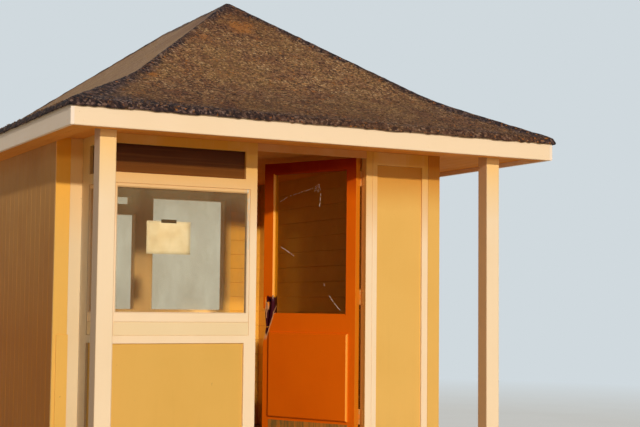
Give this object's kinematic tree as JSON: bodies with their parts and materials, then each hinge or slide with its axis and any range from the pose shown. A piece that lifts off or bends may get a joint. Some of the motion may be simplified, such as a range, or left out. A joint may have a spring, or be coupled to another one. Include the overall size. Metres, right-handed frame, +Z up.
{
  "type": "beach hut",
  "caption": "Small timber beach hut with a bellcast hipped roof, glazed corner bay, verandahs on posts and a half-glazed door that opens inward.",
  "frame": {"origin": "on the ground under the middle of the roof", "axes": "+X to the right along the front, +Y from the front to the rear, +Z up"},
  "size_m": [3.388, 4.588, 3.3142],
  "materials": {
    "cream_paint": "satin paint on timber",
    "soffit_paint": "satin paint on boards",
    "yellow_paint": "satin paint on timber",
    "orange_paint": "gloss paint on timber, worn at the lock",
    "window_glass": "clear, weathered",
    "fanlight_pane": "dark",
    "hinge_steel": "dull",
    "bare_timber": "bare, weathered",
    "kick_plate": "worn",
    "roof_felt": "rough mineral chippings"
  },
  "bodies": {
    "hut": {"left_post": "cream_paint", "right_post": "cream_paint", "rear_left_post": "cream_paint", "rear_post": "cream_paint", "front_fascia": "cream_paint", "rear_fascia": "cream_paint", "left_fascia": "cream_paint", "right_fascia": "cream_paint", "front_bay_frame": "cream_paint", "side_bay_frame": "cream_paint", "front_sash": "cream_paint", "side_sash": "cream_paint", "front_sill_board": "cream_paint", "side_sill_board": "cream_paint", "return_board": "cream_paint", "return_post": "cream_paint", "hinge_jamb": "cream_paint", "door_head": "cream_paint", "right_frame": "cream_paint", "rear_window_frame": "cream_paint", "front_soffit": "soffit_paint", "rear_soffit": "soffit_paint", "left_soffit": "soffit_paint", "ceiling": "soffit_paint", "left_wall": "yellow_paint", "right_wall": "yellow_paint", "rear_wall": "yellow_paint", "left_corner_board": "yellow_paint", "repair_board": "yellow_paint", "front_lower_panel": "yellow_paint", "side_lower_panel": "yellow_paint", "right_panel": "yellow_paint", "right_corner_board": "yellow_paint", "front_window_glass": "window_glass", "side_window_glass": "window_glass", "rear_window_glass": "window_glass", "front_fanlight": "fanlight_pane", "side_fanlight": "fanlight_pane", "jamb_hinges": "hinge_steel", "floor": "bare_timber", "bay_floor": "bare_timber", "threshold": "bare_timber", "roof_deck": "bare_timber", "roof_covering": "roof_felt"},
    "door": {"door_leaf": "orange_paint", "door_glass": "window_glass", "door_panel": "orange_paint", "kick_plate": "kick_plate", "door_hinges": "hinge_steel"}
  },
  "joints": [
    {"name": "door_hinge", "type": "hinge", "parent": "hut", "child": "door", "pos_m": [0.4725, -1.779, 0], "axis": [0, 0, -1], "range_deg": [-65, 25]}
  ]
}
